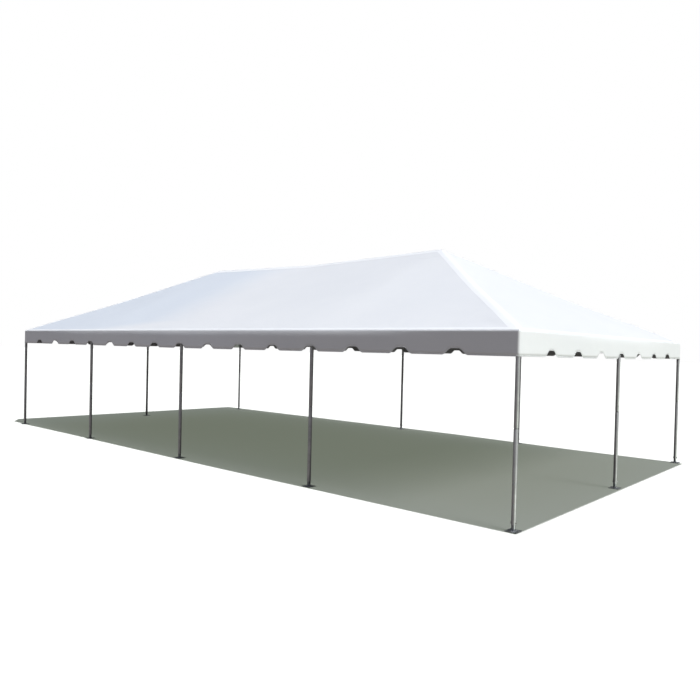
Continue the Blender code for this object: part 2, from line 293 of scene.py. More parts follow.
def vinyl_material(name, light, dark, roughness, outside=False):
    """Coated cloth, laid along the map "run": a faint weave under the coat,
    a weld between each pair of panels, and slow changes of tone."""
    shade = Shade(name, light, 0.0, roughness)
    shade.set(shade.shader, {"Specular IOR Level": VINYL_SPECULAR})
    place = shade.place()
    run = shade.run()
    broad = shade.noise(place, 0.55, 3.0)
    fine = shade.noise(place, 9.0, 5.0, 0.65)
    tone = shade.math("ADD", shade.math("MULTIPLY", broad, 0.75), shade.math("MULTIPLY", fine, 0.25))
    colour = shade.blend(shade.spread(tone, 0.32, 0.68), dark, light)
    gloss = shade.spread(fine, 0.3, 0.7, roughness - 0.05, roughness + 0.06)
    weave = shade.math("ADD", shade.wave(run, WEAVE, "X"), shade.wave(run, WEAVE, "Y"))
    soft = shade.noise(shade.stretched(place, (1.0, 1.0, 2.0)), 3.2, 3.0)
    normal = shade.bump(weave, 0.00012, 0.5, shade.bump(soft, 0.006, 0.35))
    along = shade.math("ADD", shade.split(run)["X"], PANEL_WIDTH / 2)
    weld = shade.spread(shade.math("PINGPONG", along, PANEL_WIDTH / 2), *WELD_EDGE, 1.0, 0.0)
    colour = shade.blend(shade.math("MULTIPLY", weld, 0.4), colour, light)
    # The outside gets painted shade on the roof's left part and painted light on its valance there
    if outside:
        colour = painted_left_shade_and_light(shade, place, colour)
    return shade.finish(colour=colour, roughness=gloss, normal=shade.bump(weld, 0.0005, 0.5, normal))


def tube_material():
    """Mill-finish aluminium: long die lines, handling scuffs and dull patches."""
    light, dark = (0.60, 0.602, 0.605), (0.49, 0.493, 0.496)
    shade = Shade("extruded_aluminium", light, 0.88, 0.55)
    wrapped = shade.run()
    lines = shade.noise(shade.stretched(wrapped, (900.0, 1.6, 1.0)), 1.0, 3.0)
    scuffs = shade.noise(shade.stretched(wrapped, (120.0, 420.0, 1.0)), 1.0, 2.0)
    patches = shade.noise(shade.place(), 5.0, 6.0, 0.7)
    colour = shade.blend(shade.spread(patches, 0.35, 0.68), dark, light)
    marks = shade.spread(scuffs, 0.70, 0.78)
    colour = shade.blend(shade.math("MULTIPLY", marks, 0.5), colour, (0.70, 0.705, 0.71))
    dull = shade.spread(patches, 0.3, 0.7, 0.56, 0.46)
    rough = shade.math("ADD", dull, shade.math("MULTIPLY", lines, 0.10))
    normal = shade.bump(lines, 0.00010, 0.6, shade.bump(patches, 0.0004, 0.25))
    return shade.finish(colour=colour, roughness=rough, normal=normal)


def cast_material():
    """Sand-cast aluminium: a pebbled skin, with darker grey in patches."""
    light, dark = (0.46, 0.47, 0.48), (0.30, 0.31, 0.32)
    shade = Shade("cast_aluminium", light, 0.75, 0.48)
    place = shade.place()
    pebble = shade.noise(place, 420.0, 3.0)
    patches = shade.noise(place, 26.0, 5.0)
    colour = shade.blend(shade.spread(patches, 0.32, 0.66), dark, light)
    rough = shade.spread(pebble, 0.3, 0.7, 0.42, 0.58)
    normal = shade.bump(pebble, 0.0006, 0.7, shade.bump(patches, 0.0012, 0.3))
    return shade.finish(colour=colour, roughness=rough, normal=normal)


def galvanised_material():
    """Hot-dip zinc on steel: flat spangles of unlike greys, with white bloom."""
    light, dark = (0.42, 0.43, 0.44), (0.27, 0.28, 0.29)
    shade = Shade("galvanised_steel", light, 1.0, 0.5)
    place = shade.place()
    spangle = shade.add("TexVoronoi", {"Vector": place, "Scale": 95.0})
    grey = shade.add("SeparateColor", {"Color": spangle.outputs["Color"]}).outputs[0]
    bloom = shade.noise(place, 30.0, 6.0, 0.7)
    colour = shade.blend(grey, dark, light)
    colour = shade.blend(shade.spread(bloom, 0.56, 0.74, 0.0, 0.6), colour, (0.55, 0.55, 0.54))
    rough = shade.math("ADD", shade.math("MULTIPLY", grey, 0.16), shade.spread(bloom, 0.4, 0.7, 0.36, 0.5))
    normal = shade.bump(spangle.outputs["Distance"], 0.0003, 0.4, shade.bump(bloom, 0.0006, 0.4))
    return shade.finish(colour=colour, roughness=rough, normal=normal)


def zinc_material():
    """Bright zinc plate on pins, rings and bolts, with a dull film."""
    shade = Shade("zinc_plate", (0.60, 0.60, 0.58), 1.0, 0.3)
    place = shade.place()
    film = shade.noise(place, 90.0, 5.0, 0.65)
    colour = shade.blend(shade.spread(film, 0.35, 0.7), (0.42, 0.42, 0.41), (0.63, 0.63, 0.61))
    rough = shade.spread(film, 0.3, 0.7, 0.24, 0.42)
    return shade.finish(colour=colour, roughness=rough, normal=shade.bump(film, 0.0002, 0.3))


VINYL_OUTSIDE = vinyl_material("vinyl_outside", (0.840, 0.842, 0.848), (0.805, 0.811, 0.823), 0.46, True)
# Painted shade: the inside is a mid grey, darker than the white vinyl it stands for
VINYL_INSIDE_PAINTED_SHADE = vinyl_material("vinyl_inside_painted_shade", (0.50, 0.505, 0.51), (0.44, 0.445, 0.45), 0.60)
# The bands are reinforcing strips; their whiter colour is partly a painted highlight where the cloth rounds
# over the tubes
VINYL_BAND_PAINTED_HIGHLIGHT = vinyl_material("vinyl_band_painted_highlight", (0.955, 0.957, 0.960), (0.940, 0.943, 0.947), 0.40)
VINYL_HEM = vinyl_material("vinyl_hem", (0.74, 0.745, 0.75), (0.66, 0.67, 0.68), 0.52)
TUBE = tube_material()
CAST = cast_material()
GALVANISED = galvanised_material()
ZINC = zinc_material()


# Meshes

def frame_along(origin, axis, side=None):
    """The matrix that turns local +Z to axis and local +X towards side."""
    z = Vector(axis).normalized()
    x = Vector(side) if side is not None else z.orthogonal()
    x = (x - z * x.dot(z)).normalized()
    y = z.cross(x)
    turn = Matrix((x, y, z)).transposed().to_4x4()
    return Matrix.Translation(origin) @ turn


def turned(profile, sides):
    """A surface turned about Z from a closed ring of (radius, height) points.
    Points on the axis close it. Returns corners, faces and UVs in metres."""
    rows = []
    corners = []
    for radius, height in profile:
        if radius <= 0:
            rows.append([len(corners)] * sides)
            corners.append((0, 0, height))
            continue
        rows.append(list(range(len(corners), len(corners) + sides)))
        for step in range(sides):
            angle = math.tau * step / sides
            corners.append((radius * math.cos(angle), radius * math.sin(angle), height))
    faces, maps = [], []
    width = math.tau * TUBE_RADIUS / sides
    count = len(profile)
    for low in range(count):
        high = (low + 1) % count
        if profile[low][0] <= 0 and profile[high][0] <= 0:
            continue
        for step in range(sides):
            spots = ((step, low), (step + 1, low), (step + 1, high), (step, high))
            loop = [rows[row][place % sides] for place, row in spots]
            uv = [(place * width, profile[row][1]) for place, row in spots]
            kept = [k for k in range(4) if loop[k] != loop[k - 1]]
            faces.append([loop[k] for k in kept])
            maps.append([uv[k] for k in kept])
    return corners, faces, maps


def ring_mesh(major, minor, around, across):
    """A torus about Z."""
    profile = []
    for step in range(across):
        angle = math.tau * step / across
        profile.append((major + minor * math.cos(angle), minor * math.sin(angle)))
    return turned(profile, around)


def hexagon(across_flats, bottom, top, chamfer):
    """A bolt head or nut, with its corners turned off at both ends."""
    corner = across_flats / 2 / math.cos(math.pi / 6)
    profile = [(0, bottom), (corner - chamfer, bottom), (corner, bottom + chamfer)]
    profile += [(corner, top - chamfer), (corner - chamfer, top), (0, top)]
    return turned(profile, 6)


def add_object(name, data):
    item = bpy.data.objects.new(name, data)
    bpy.context.scene.collection.objects.link(item)
    return item


def object_from(bm, name):
    """Turns a bmesh into an object, and frees it."""
    mesh = bpy.data.meshes.new(name)
    bm.to_mesh(mesh)
    bm.free()
    return add_object(name, mesh)


def modify(item, kind, **settings):
    modifier = item.modifiers.new(kind, kind)
    for name, value in settings.items():
        setattr(modifier, name, value)


def baked(item, *helpers):
    """An object's corners and faces after its modifiers, with no UVs. The
    object and its helpers are removed."""
    graph = bpy.context.evaluated_depsgraph_get()
    made = item.evaluated_get(graph).to_mesh()
    corners = [tuple(vert.co) for vert in made.vertices]
    faces = [list(face.vertices) for face in made.polygons]
    item.evaluated_get(graph).to_mesh_clear()
    for used in (item, *helpers):
        bpy.data.objects.remove(used)
    return corners, faces, None


def dress(item, node):
    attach(item, "root")
    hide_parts(node)
    return item


class Piece:
    """Collects meshes into one object, each with its own material."""

    def __init__(self, name):
        self.name = name
        self.corners = []
        self.faces = []
        self.maps = []
        self.slots = []
        self.materials = []

    def add(self, part, material, matrix=Matrix(), warp=None):
        corners, faces, maps = part
        points = [matrix @ Vector(corner) for corner in corners]
        if warp is not None:
            points = [warp(point) for point in points]
        start = len(self.corners)
        self.corners += points
        self.faces += [[start + number for number in face] for face in faces]
        self.maps += maps if maps else [[(0.0, 0.0)] * len(face) for face in faces]
        if material not in self.materials:
            self.materials.append(material)
        self.slots += [self.materials.index(material)] * len(faces)

    def finish(self, slot, node, sharp=SHARP):
        mesh = bpy.data.meshes.new(self.name)
        mesh.from_pydata(self.corners, [], self.faces)
        flat = [value for face in self.maps for spot in face for value in spot]
        mesh.uv_layers.new(name="run").data.foreach_set("uv", flat)
        for material in self.materials:
            mesh.materials.append(material)
        mesh.polygons.foreach_set("material_index", self.slots)
        mesh.validate()
        bm = bmesh.new()
        bm.from_mesh(mesh)
        bmesh.ops.recalc_face_normals(bm, faces=bm.faces[:])
        bm.to_mesh(mesh)
        bm.free()
        mesh.shade_smooth()
        mesh.set_sharp_from_angle(angle=sharp)
        return dress(add_object(self.name, mesh), node)


# Tubes

END_ROLL = 0.0008


def tube_profile(length, outer, inner, stations=()):
    """A hollow tube's section, with rolled ends and a ring at each station."""
    roll = min(END_ROLL, (outer - inner) / 3)
    ease = roll * 0.3
    profile = [(inner + roll, 0), (outer - roll, 0), (outer - ease, ease), (outer, roll)]
    profile += [(outer, place) for place in stations]
    profile += [(outer, length - roll), (outer - ease, length - ease), (outer - roll, length)]
    profile += [(inner + roll, length), (inner, length - roll)]
    profile += [(inner, place) for place in reversed(stations)]
    return profile + [(inner, roll)]


def add_tube(piece, start, end, warp=None, spacing=STATION_SPACING):
    start, end = Vector(start), Vector(end)
    length = (end - start).length
    count = max(1, round(length / spacing))
    stations = [length * step / count for step in range(1, count)]
    profile = tube_profile(length, TUBE_RADIUS, BORE_RADIUS, stations)
    piece.add(turned(profile, TUBE_SIDES), TUBE, frame_along(start, end - start), warp)


def spigot(length, sides=SMALL_SIDES):
    return turned(tube_profile(length, SPIGOT_RADIUS, SPIGOT_RADIUS - SPIGOT_WALL), sides)


# Small turned parts, as sections of (radius, height) points

PIN_REACH = TUBE_RADIUS + 0.0030
PIN_NOSE = TUBE_RADIUS + 0.0012
PIN_BACK = -PIN_REACH - 0.004
PIN_TOP = -PIN_REACH - 0.0062
PIN_SHANK = [(0, PIN_BACK), (0.0040, PIN_BACK), (0.0040, PIN_NOSE - 0.002)]
PIN_SHANK += [(0.0026, PIN_NOSE), (0, PIN_NOSE)]
PIN_HEAD = [(0, PIN_TOP), (0.0052, PIN_TOP), (0.0070, -PIN_REACH - 0.0046)]
PIN_HEAD += [(0.0070, -PIN_REACH - 0.0012), (0.0060, -PIN_REACH), (0, -PIN_REACH)]
PULL_RING = (0.0130, 0.0012)
RING_PLACE = (0.0125, 0, -PIN_REACH - 0.0075)
RING_LEAN = math.radians(14)
BUTTON = ((0, 0), (0.0042, 0), (0.0042, 0.0016), (0.0028, 0.0030), (0, 0.0034))
BUTTON_SINK = 0.0008
BOLT_SHANK = ((0, -0.034), (0.0046, -0.034), (0.0050, -0.033), (0.0050, 0.035), (0.0042, 0.036), (0, 0.036))
WASHER_NEAR = TUBE_RADIUS + 0.0001
WASHER_FAR = TUBE_RADIUS + 0.0017
WASHER_HOLE = 0.0053
WASHER_RADIUS = 0.0100
NUT_SEAT = TUBE_RADIUS + 0.0018
NUT_FLATS = 0.0165
NUT_HEIGHT = 0.0064
NUT_CHAMFER = 0.0008


def add_pin(piece, place, along, side):
    """A pull pin through a tube: head and ring on one side, its nose flush.

    along is the pin's own direction, from its head, and side is the tube's.
    """
    matrix = frame_along(place, along, side)
    piece.add(turned(PIN_SHANK, 12), ZINC, matrix)
    piece.add(turned(PIN_HEAD, 16), ZINC, matrix)
    hung = matrix @ Matrix.Translation(RING_PLACE) @ Matrix.Rotation(RING_LEAN, 4, "Y")
    piece.add(ring_mesh(*PULL_RING, 24, 6), ZINC, hung)


# Fittings

STUB_RADIUS = TUBE_RADIUS + 0.0002
SPIGOT_ROOT = 0.012


def cast_body(arms):
    """The skin of a casting with a stub arm along each direction, its inner
    corners filled as a casting's are."""
    bm = bmesh.new()
    for arm in arms:
        profile = [(0, 0), (STUB_RADIUS, 0), (STUB_RADIUS, FITTING_ARM), (0, FITTING_ARM)]
        corners, faces, _ = turned(profile, TUBE_SIDES)
        matrix = frame_along((0, 0, 0), arm)
        verts = [bm.verts.new(matrix @ Vector(corner)) for corner in corners]
        for face in faces:
            bm.faces.new([verts[number] for number in face])
    bmesh.ops.create_icosphere(bm, subdivisions=3, radius=TUBE_RADIUS * 1.06)
    bmesh.ops.recalc_face_normals(bm, faces=bm.faces[:])
    item = object_from(bm, "casting")
    modify(item, "REMESH", mode="VOXEL", voxel_size=VOXEL)
    modify(item, "SMOOTH", factor=0.5, iterations=4)
    return baked(item)


def add_fitting(name, hub, arms, node):
    """A fitting at hub with its spigots and pins. Each arm has the point that
    it runs towards and the direction of its pin."""
    ways = [(target - hub).normalized() for target, _ in arms]
    piece = Piece(name)
    piece.add(cast_body(ways), CAST, Matrix.Translation(hub))
    for way, (_, pin) in zip(ways, arms):
        start = hub + way * (FITTING_ARM - SPIGOT_ROOT)
        piece.add(spigot(SPIGOT_LENGTH + SPIGOT_ROOT), CAST, frame_along(start, way))
        add_pin(piece, hub + way * (FITTING_ARM + SPIGOT_LENGTH / 2), pin, way)
    piece.finish("cast_aluminium", node)


# Legs and feet

LEG_JOINT_Z = 1.083
LEG_JOINT_GAP = 0.012
SLEEVE_LENGTH = 0.24
BUTTON_SPREAD = 0.055


def add_leg(name, x, y, node):
    """A leg of two tubes, with the sleeve that joins them showing between."""
    piece = Piece(name)
    add_tube(piece, (x, y, LEG_BOTTOM_Z), (x, y, LEG_JOINT_Z - LEG_JOINT_GAP / 2))
    add_tube(piece, (x, y, LEG_JOINT_Z + LEG_JOINT_GAP / 2), (x, y, LEG_TOP_Z))
    bottom = Matrix.Translation((x, y, LEG_JOINT_Z - SLEEVE_LENGTH / 2))
    piece.add(spigot(SLEEVE_LENGTH), GALVANISED, bottom)
    for side in (-1, 1):
        for angle in (0.0, math.pi):
            out = Vector((math.cos(angle), math.sin(angle), 0))
            place = Vector((x, y, LEG_JOINT_Z + side * BUTTON_SPREAD)) + out * (TUBE_RADIUS - BUTTON_SINK)
            piece.add(turned(BUTTON, 14), ZINC, frame_along(place, out))
    piece.finish("aluminium_tube", node)


PLATE_THICKNESS = 0.0064
STAKE_HOLE_RADIUS = 0.0095
STAKE_HOLE_INSET = 0.020
DRILL_LENGTH = 0.05
PIN_Z = 0.092


def plate_mesh():
    """The base plate, with eased edges and a stake hole near each corner."""
    bm = bmesh.new()
    bmesh.ops.create_cube(bm, size=1.0)
    bmesh.ops.scale(bm, vec=(PLATE_SIZE, PLATE_SIZE, PLATE_THICKNESS), verts=bm.verts[:])
    bmesh.ops.translate(bm, vec=(0, 0, PLATE_THICKNESS / 2), verts=bm.verts[:])
    plate = object_from(bm, "plate")
    bm = bmesh.new()
    offset = PLATE_SIZE / 2 - STAKE_HOLE_INSET
    size = {"radius1": STAKE_HOLE_RADIUS, "radius2": STAKE_HOLE_RADIUS, "depth": DRILL_LENGTH}
    for side_x in (-1, 1):
        for side_y in (-1, 1):
            spot = Matrix.Translation((side_x * offset, side_y * offset, 0))
            bmesh.ops.create_cone(bm, cap_ends=True, segments=32, matrix=spot, **size)
    drills = object_from(bm, "drills")
    modify(plate, "BOOLEAN", operation="DIFFERENCE", object=drills)
    modify(plate, "BEVEL", width=0.0009, segments=2, limit_method="ANGLE", angle_limit=math.radians(50))
    return baked(plate, drills)


def bead_mesh(radius, size):
    """A rippled weld bead round a tube that stands on a plate."""
    corners, faces, maps = ring_mesh(radius, size, 72, 8)
    rippled = []
    for x, y, z in map(Vector, corners):
        angle = math.atan2(y, x)
        beat = math.sin(angle * 30)
        swell = 1 + 0.03 * beat + 0.012 * math.sin(angle * 7)
        rippled.append((x * swell, y * swell, max(0.0, z) * (1 + 0.2 * beat)))
    return rippled, faces, maps


def add_foot(name, x, y, node, plate):
    """A plate with a welded spigot, and the bolt that holds the leg on it."""
    piece = Piece(name)
    piece.add(plate, GALVANISED, Matrix.Translation((x, y, 0)))
    stub = spigot(FOOT_TOP_Z - PLATE_THICKNESS / 2, TUBE_SIDES)
    piece.add(stub, GALVANISED, Matrix.Translation((x, y, PLATE_THICKNESS / 2)))
    bead = bead_mesh(SPIGOT_RADIUS + 0.0012, 0.0042)
    piece.add(bead, GALVANISED, Matrix.Translation((x, y, PLATE_THICKNESS)))
    bolt = frame_along((x, y, PIN_Z), ALONG_X, WORLD_UP)
    piece.add(turned(BOLT_SHANK, 20), ZINC, bolt)
    rim, ease = WASHER_RADIUS - 0.0002, 0.0003
    for low, high in ((-WASHER_FAR, -WASHER_NEAR), (WASHER_NEAR, WASHER_FAR)):
        washer = [(WASHER_HOLE, low), (rim, low), (WASHER_RADIUS, low + ease)]
        washer += [(WASHER_RADIUS, high - ease), (rim, high), (WASHER_HOLE, high)]
        piece.add(turned(washer, 28), ZINC, bolt)
    for bottom, top in ((-NUT_SEAT - NUT_HEIGHT, -NUT_SEAT), (NUT_SEAT, NUT_SEAT + NUT_HEIGHT)):
        piece.add(hexagon(NUT_FLATS, bottom, top, NUT_CHAMFER), ZINC, bolt)
    piece.finish("galvanised_steel", node)


# Frame

CROWNS = {
    "left": Vector((-RIDGE_HALF, 0, CROWN_Z)),
    "middle": Vector((0, 0, RIDGE_MID_Z)),
    "right": Vector((RIDGE_HALF, 0, CROWN_Z)),
}
RIDGE_PIN = Vector((0, 1, 0.5))


def hip_drop_share(share):
    """How far a hip hangs below its straight line, at a share of its length."""
    length = math.dist((HALF_WIDTH, HALF_WIDTH, EAVE_Z), (0, 0, CROWN_Z))
    end = HIP_STRAIGHT_END / length
    along = clamped((share - end) / (1 - 2 * end))
    return HIP_SAG * math.sin(math.pi * along) ** 2


def member(name, start, end, node, warp=None, spacing=STATION_SPACING):
    """A tube between two fittings' arms."""
    reach = (end - start).normalized() * (FITTING_ARM + BUTT_GAP)
    piece = Piece(name)
    add_tube(piece, start + reach, end - reach, warp, spacing)
    piece.finish("aluminium_tube", node)


def sagging(point):
    """Moves a hip tube's point down by the hip's sag there."""
    share = (HALF_LENGTH - abs(point.x)) / HALF_WIDTH
    return point - WORLD_UP * hip_drop_share(share)


def eave_point(x, y):
    return Vector((x, y, EAVE_Z))


def tee_arms(hub, rail, crown):
    """A tee's arms: both ways along its rail, down to a leg and up a rafter."""
    return [(hub + rail, WORLD_UP), (hub - rail, WORLD_UP), (hub - WORLD_UP, rail), (crown, rail)]


def build_frame():
    plate = plate_mesh()
    grid = [BAY * (number - 2) for number in range(5)]
    spots = []
    for side, sign in ALL_SIDES:
        spots += [(f"{side}_{number + 1}", x, sign * HALF_WIDTH) for number, x in enumerate(grid)]
    spots += [(f"{end}_middle", sign * HALF_LENGTH, 0.0) for end, sign in ALL_ENDS]
    for spot, x, y in spots:
        add_foot(f"base_{spot}", x, y, f"foot_{spot}", plate)
        add_leg(f"leg_tubes_{spot}", x, y, f"leg_{spot}")

    for side, sign in ALL_SIDES:
        y = sign * HALF_WIDTH
        rail = f"eave_rail_{side}"
        points = [eave_point(x, y) for x in grid]
        for number, (start, end) in enumerate(zip(points, points[1:])):
            member(f"eave_tube_{side}_{number + 1}", start, end, rail)
        for name, crown in CROWNS.items():
            hub = eave_point(crown.x, y)
            add_fitting(f"tee_fitting_{side}_{name}", hub, tee_arms(hub, ALONG_X, crown), rail)
            member(f"rafter_tube_{side}_{name}", hub, crown, f"rafter_{side}_{name}")

    for end, sign in ALL_ENDS:
        x = sign * HALF_LENGTH
        rail = f"eave_rail_{end}"
        crown = CROWNS[end]
        hub = eave_point(x, 0)
        corners = [(side, other, eave_point(x, other * HALF_WIDTH)) for side, other in ALL_SIDES]
        for side, _, corner in corners:
            member(f"eave_tube_{end}_{side}", corner, hub, rail)
        add_fitting(f"tee_fitting_{end}", hub, tee_arms(hub, ALONG_Y, crown), rail)
        member(f"rafter_tube_{end}_end", hub, crown, f"rafter_end_{end}")

        crown_arms = [(CROWNS["middle"], RIDGE_PIN), (hub, ALONG_Y)]
        crown_arms += [(eave_point(crown.x, other * HALF_WIDTH), ALONG_X) for _, other in ALL_SIDES]
        for side, other, corner in corners:
            outward = Vector((sign, other, 0))
            across = outward.cross(WORLD_UP)
            arms = [(corner - ALONG_X * sign, WORLD_UP), (corner - ALONG_Y * other, WORLD_UP)]
            arms += [(corner - WORLD_UP, outward), (crown, across)]
            add_fitting(f"corner_casting_{side}_{end}", corner, arms, f"corner_fitting_{side}_{end}")
            hip = f"hip_rafter_{side}_{end}"
            member(f"hip_tube_{side}_{end}", corner, crown, hip, sagging, HIP_SPACING)
            crown_arms.append((corner, across))
        member(f"ridge_pole_{end}", CROWNS["middle"], crown, f"ridge_tube_{end}")
        add_fitting(f"crown_casting_{end}", crown, crown_arms, f"crown_fitting_{end}")

    arms = [(CROWNS[end], RIDGE_PIN) for end, _ in ALL_ENDS]
    arms += [(eave_point(0, other * HALF_WIDTH), ALONG_X) for _, other in ALL_SIDES]
    add_fitting("ridge_casting_middle", CROWNS["middle"], arms, "ridge_fitting_middle")


# Canopy's surface

def clamped(value):
    return min(max(value, 0.0), 1.0)


def drift(x, y, scale, layer):
    """Slow random changes over the plan."""
    return noise.noise(Vector((x * scale, y * scale, layer)))


def soft_abs(value, width):
    value = abs(value)
    return value if value > width else value * value / (2 * width) + width / 2


def soft_min(first, second, width):
    gap = max(width - abs(first - second), 0.0)
    return min(first, second) - gap * gap / (4 * width)


RIDGE_ROUND = SHEET_OFFSET * math.sin(SLOPE)
HIP_ROUND = 0.0120
HIP_LIFT = 0.0032
HIP_LIFT_REACH = 0.28
FOLD_PLACE = 0.50
FOLD_SPREAD = 0.22
FOLD_START = 0.004


def corner_fold(x, y):
    """Small folds that fan out from a corner between its hip and its eaves."""
    along, across = HALF_LENGTH - abs(x), HALF_WIDTH - abs(y)
    if along < FOLD_START or across < FOLD_START:
        return 0.0
    turn = math.atan2(across, along)
    near = math.exp(-((math.hypot(along, across) - FOLD_PLACE) / FOLD_SPREAD) ** 2)
    twist = 2.1 if x > 0 else 0.6
    return CORNER_FOLD * near * math.sin(4 * turn) ** 2 * math.sin(9 * turn + twist)


def roof_height(x, y):
    """Height of the sheet's inner face over a point of the plan.

    It is stretched over the ridge, the hips and the rafters, and hangs a
    little between them.
    """
    wide = abs(x)
    side = 1 - soft_abs(y, RIDGE_ROUND) / HALF_WIDTH
    end = (HALF_LENGTH - wide) / HALF_WIDTH
    share = clamped(min(side, end))
    inside = share * (1 - share)
    open_up = min(1.0, 12 * inside)
    rise = soft_min(side, end, HIP_ROUND * (0.25 + 0.75 * open_up))
    dip = RIDGE_DIP * max(0.0, 1 - wide / RIDGE_HALF)
    height = EAVE_Z + LIFT + (CROWN_Z - dip - EAVE_Z) * rise
    if wide < RIDGE_HALF:
        across = wide / RIDGE_HALF
        height -= QUAD_SAG * math.sin(math.pi * across) * math.sin(math.pi * share ** 0.9)
    else:
        reach = max(HALF_WIDTH * (1 - share), 0.001)
        on_end = end < side
        out = clamped((abs(y) if on_end else wide - RIDGE_HALF) / reach)
        height -= hip_drop_share(share) * out * out
        off_hip = abs(side - end) * HALF_WIDTH / math.sqrt(2)
        height += HIP_LIFT * open_up * math.exp(-(off_hip / HIP_LIFT_REACH) ** 2)
        depth = END_SAG if on_end else TRIANGLE_SAG
        height -= depth * 27 * share * (1 - share) ** 2 * out * (1 - out)
    ripple = 1.4 * drift(x, y, 0.9, 3.1) + 0.7 * drift(x, y, 2.6, 8.7)
    height += RIPPLE * 4 * inside * ripple
    return height + corner_fold(x, y)


def roof_normal(x, y, step=0.002):
    rise_x = (roof_height(x + step, y) - roof_height(x - step, y)) / (2 * step)
    rise_y = (roof_height(x, y + step) - roof_height(x, y - step)) / (2 * step)
    return Vector((-rise_x, -rise_y, 1)).normalized()


def even_notches(tabs, length):
    return [length * number / tabs for number in range(1, tabs)]


def back_notches():
    """The back's tabs aren't sewn quite evenly, so its notches drift."""
    places = []
    for place in even_notches(LONG_TABS, 2 * HALF_LENGTH):
        x = HALF_LENGTH - place
        turn = math.tau * (x - BACK_DRIFT_MIDDLE) / BACK_DRIFT_LENGTH
        places.append(place - BACK_DRIFT * math.sin(turn))
    return places


def left_notches():
    """The left end's tabs are a little narrow and sit towards the front."""
    middle = HALF_WIDTH + LEFT_SHIFT
    return [middle + LEFT_TAB * (number - SHORT_TABS / 2) for number in range(1, SHORT_TABS)]


def edge_drop(place, length, notches):
    """How far the hem lies below its level at a distance along a side: it
    droops a little between the corners, and is cut up at the notches."""
    droop = HEM_DROOP * math.sin(math.pi * place / length) ** 2
    off = min(abs(place - notch) for notch in notches) - NOTCH_ROUND
    off = max(off, 0.0) / (NOTCH_HALF - NOTCH_ROUND)
    return droop - (NOTCH_HEIGHT * (1 + math.cos(math.pi * off)) / 2 if off < 1 else 0.0)


CORNER_PLACES = (0.0, 0.010, 0.025, 0.045, 0.070, 0.100, 0.140, 0.195, 0.270, 0.360, 0.460)


def side_places(length, notches):
    """Distances along a side at which the sheet has a column."""
    first, last = notches[0] - NOTCH_HALF, length - notches[-1] - NOTCH_HALF
    places = [place for place in CORNER_PLACES if place < first - 0.01]
    places += [length - place for place in CORNER_PLACES if place < last - 0.01]
    steps = range(-NOTCH_STEPS, NOTCH_STEPS + 1)
    for notch in notches:
        places += [notch + NOTCH_HALF * step / NOTCH_STEPS for step in steps]
    for before, after in zip(notches, notches[1:]):
        start, tab = before + NOTCH_HALF, after - before - 2 * NOTCH_HALF
        places += [start + tab * step / TAB_STEPS for step in range(1, TAB_STEPS)]
    return sorted(places)


def sheet_sides():
    """Each side's first corner, its direction and where its notches are."""
    long_side = even_notches(LONG_TABS, 2 * HALF_LENGTH)
    right_end = even_notches(SHORT_TABS, 2 * HALF_WIDTH)
    return (
        (Vector((-HALF_LENGTH, -HALF_WIDTH, 0)), ALONG_X, long_side),
        (Vector((HALF_LENGTH, -HALF_WIDTH, 0)), ALONG_Y, right_end),
        (Vector((HALF_LENGTH, HALF_WIDTH, 0)), Vector((-1, 0, 0)), back_notches()),
        (Vector((-HALF_LENGTH, HALF_WIDTH, 0)), Vector((0, -1, 0)), left_notches()),
    )


def perimeter():
    """The sheet's columns in order round the tent. Each has the eave's point,
    the outward direction there, the ridge point that it runs to, how far its
    hem drops, and its distance from the nearest leg."""
    columns = []
    for start, along, notches in sheet_sides():
        out = along.cross(WORLD_UP)
        length = 2 * (HALF_LENGTH if along.x else HALF_WIDTH)
        for place in side_places(length, notches):
            point = start + along * place
            top = Vector((min(max(point.x, -RIDGE_HALF), RIDGE_HALF), 0, 0))
            leg = abs(place / BAY - round(place / BAY)) * BAY
            columns.append((point, out, top, edge_drop(place, length, notches), leg))
        corner = start + along * length
        top = Vector((math.copysign(RIDGE_HALF, corner.x), 0, 0))
        for step in range(1, CORNER_STEPS):
            angle = math.pi / 2 * step / CORNER_STEPS
            outward = out * math.cos(angle) + along * math.sin(angle)
            columns.append((corner, outward, top, 0.0, 0.0))
    return columns


def valance_push(point, leg, depth):
    """How far the valance stands out of its plane, none of it at the eave and
    at the legs, and the most at the hem."""
    free = min(leg / LEG_HOLD, 1.0)
    free = free * free * (3 - 2 * free)
    wave = 1.1 * drift(point.x, point.y, 0.8, 1.7) + 0.5 * drift(point.x, point.y, 3.1, 5.2)
    gather = math.exp(-((leg - GATHER_PLACE) / GATHER_SPREAD) ** 2) * (1 + math.cos(leg * 75)) * GATHER_DEPTH
    return depth ** 1.4 * (HEM_FLARE * free * wave + 0.0012) + depth * gather


def eave_roll(point):
    """The tilt at which the sheet leaves the eave tube. It is tight by the
    corners, and rolls over more softly away from them."""
    corner = max(min(HALF_LENGTH - abs(point.x), 4.0), min(HALF_WIDTH - abs(point.y), 4.0))
    loose = clamped((corner - 0.5) / 2.2)
    change = drift(point.x, point.y, 0.45, 12.3)
    return EAVE_ROLL * loose * loose * (3 - 2 * loose) * (0.85 + 0.5 * change)


